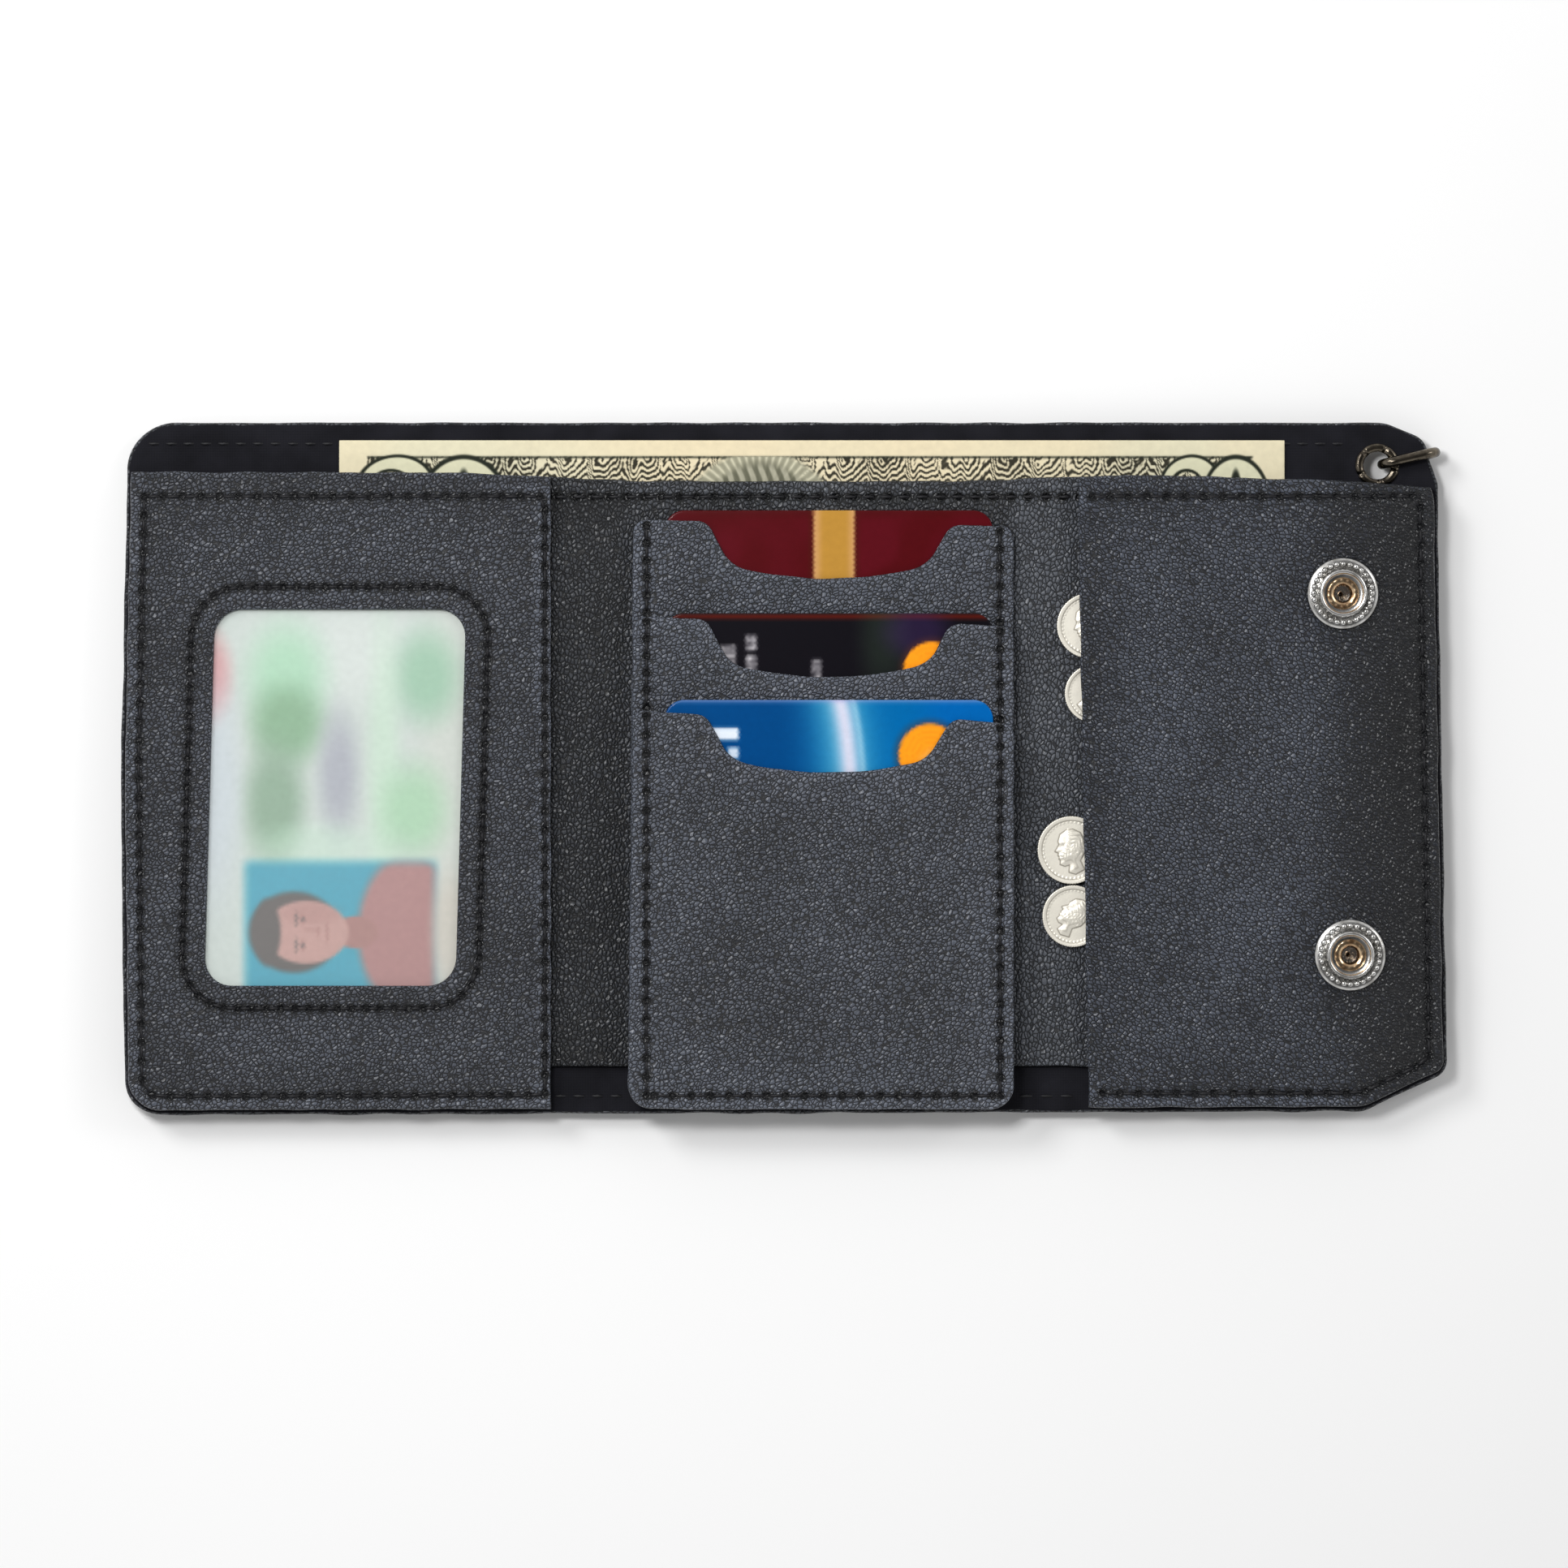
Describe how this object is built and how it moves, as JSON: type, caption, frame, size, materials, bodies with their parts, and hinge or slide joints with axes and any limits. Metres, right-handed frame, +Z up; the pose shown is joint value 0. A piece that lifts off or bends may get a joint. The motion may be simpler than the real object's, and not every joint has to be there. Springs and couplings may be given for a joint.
{
  "type": "trifold wallet",
  "caption": "Leather trifold chain wallet, opened flat, with card slots, a windowed ID pocket, a coin pocket, a banknote compartment, snap closures and a grommet holding a chain link.",
  "frame": {"origin": "on the surface the wallet lies on, under the middle of the opened wallet", "axes": "+X across the three panels towards the coin pocket, +Y towards the banknote opening, +Z up out of the inside face"},
  "size_m": [0.219, 0.1142, 0.0098],
  "materials": {
    "leather": "pebble-grained charcoal leather, semi-matt",
    "lining": "black woven lining, matt",
    "thread": "black bonded thread",
    "vinyl": "clear flexible vinyl",
    "banknote": "cream printed banknote paper",
    "id_card": "laminated card, pale green and grey",
    "card_red": "glossy dark red card with a gold stripe",
    "card_black": "glossy black card with an orange disc",
    "card_blue": "glossy blue card with an orange disc",
    "coin_silver": "struck cupronickel, lightly worn",
    "nickel": "bright nickel plate",
    "brass": "bare brass",
    "gunmetal": "dark antique nickel"
  },
  "bodies": {
    "center": {"outer_shell_center": "leather", "outer_shell_left_fold": "leather", "outer_shell_right_fold": "leather", "bill_lining": "lining", "inner_wall_center": "leather", "inner_wall_left_fold": "leather", "inner_wall_right_fold": "leather", "banknote": "banknote", "card_pocket_top": "leather", "card_pocket_middle": "leather", "card_pocket_bottom": "leather", "stitching_center": "thread", "stitching_folds": "thread"},
    "left_panel": {"outer_shell_left_panel": "leather", "inner_wall_left_panel": "leather", "id_pocket_front": "leather", "id_window": "vinyl", "stitching_left_panel": "thread", "stitching_window": "thread", "snap_stud_upper": "nickel", "snap_stud_lower": "nickel", "stud_rivet_upper": "brass", "stud_rivet_lower": "brass"},
    "right_panel": {"outer_shell_right_panel": "leather", "inner_wall_right_panel": "leather", "coin_pocket_front": "leather", "stitching_right_panel": "thread", "snap_cap_upper": "nickel", "snap_cap_lower": "nickel", "snap_eyelet_upper": "brass", "snap_eyelet_lower": "brass", "snap_socket_upper": "nickel", "snap_socket_lower": "nickel", "socket_spring_upper": "nickel", "socket_spring_lower": "nickel", "grommet_front": "gunmetal", "grommet_washer": "gunmetal"},
    "card_top": {"card_top": "card_red"},
    "card_middle": {"card_middle": "card_black"},
    "card_bottom": {"card_bottom": "card_blue"},
    "id_card": {"id_card": "id_card"},
    "coin_1": {"coin_1": "coin_silver"},
    "coin_2": {"coin_2": "coin_silver"},
    "coin_3": {"coin_3": "coin_silver"},
    "coin_4": {"coin_4": "coin_silver"},
    "chain_link": {"chain_link": "gunmetal"}
  },
  "joints": [
    {"name": "left_fold", "type": "hinge", "parent": "center", "child": "left_panel", "pos_m": [-0.03475, 0, 0.0085], "axis": [0, 1, 0], "range_deg": [0, 179.5], "deforming": ["outer_shell_left_fold", "inner_wall_left_fold", "bill_lining", "banknote", "stitching_folds"]},
    {"name": "right_fold", "type": "hinge", "parent": "center", "child": "right_panel", "pos_m": [0.0409, 0, 0.01232], "axis": [0, -1, 0], "range_deg": [0, 179.5], "deforming": ["outer_shell_right_fold", "inner_wall_right_fold"]},
    {"name": "card_top_slide", "type": "slide", "parent": "center", "child": "card_top", "axis": [0, -1, 0], "range_m": [-0.087, 0]},
    {"name": "card_middle_slide", "type": "slide", "parent": "center", "child": "card_middle", "axis": [0, -1, 0], "range_m": [-0.079, 0]},
    {"name": "card_bottom_slide", "type": "slide", "parent": "center", "child": "card_bottom", "axis": [0, -1, 0], "range_m": [-0.065, 0]},
    {"name": "id_card_slide", "type": "slide", "parent": "left_panel", "child": "id_card", "axis": [-1, 0, 0], "range_m": [-0.02, 0]},
    {"name": "coin_1_slide", "type": "slide", "parent": "right_panel", "child": "coin_1", "axis": [1, 0, 0], "range_m": [-0.003, 0.03]},
    {"name": "coin_2_slide", "type": "slide", "parent": "right_panel", "child": "coin_2", "axis": [1, 0, 0], "range_m": [-0.003, 0.03]},
    {"name": "coin_3_slide", "type": "slide", "parent": "right_panel", "child": "coin_3", "axis": [1, 0, 0], "range_m": [-0.003, 0.03]},
    {"name": "coin_4_slide", "type": "slide", "parent": "right_panel", "child": "coin_4", "axis": [1, 0, 0], "range_m": [-0.003, 0.03]},
    {"name": "chain_link_swing", "type": "hinge", "parent": "right_panel", "child": "chain_link", "pos_m": [0.098, 0.0501, 0.003], "axis": [0, 0, 1], "range_deg": [-8, 60]}
  ]
}
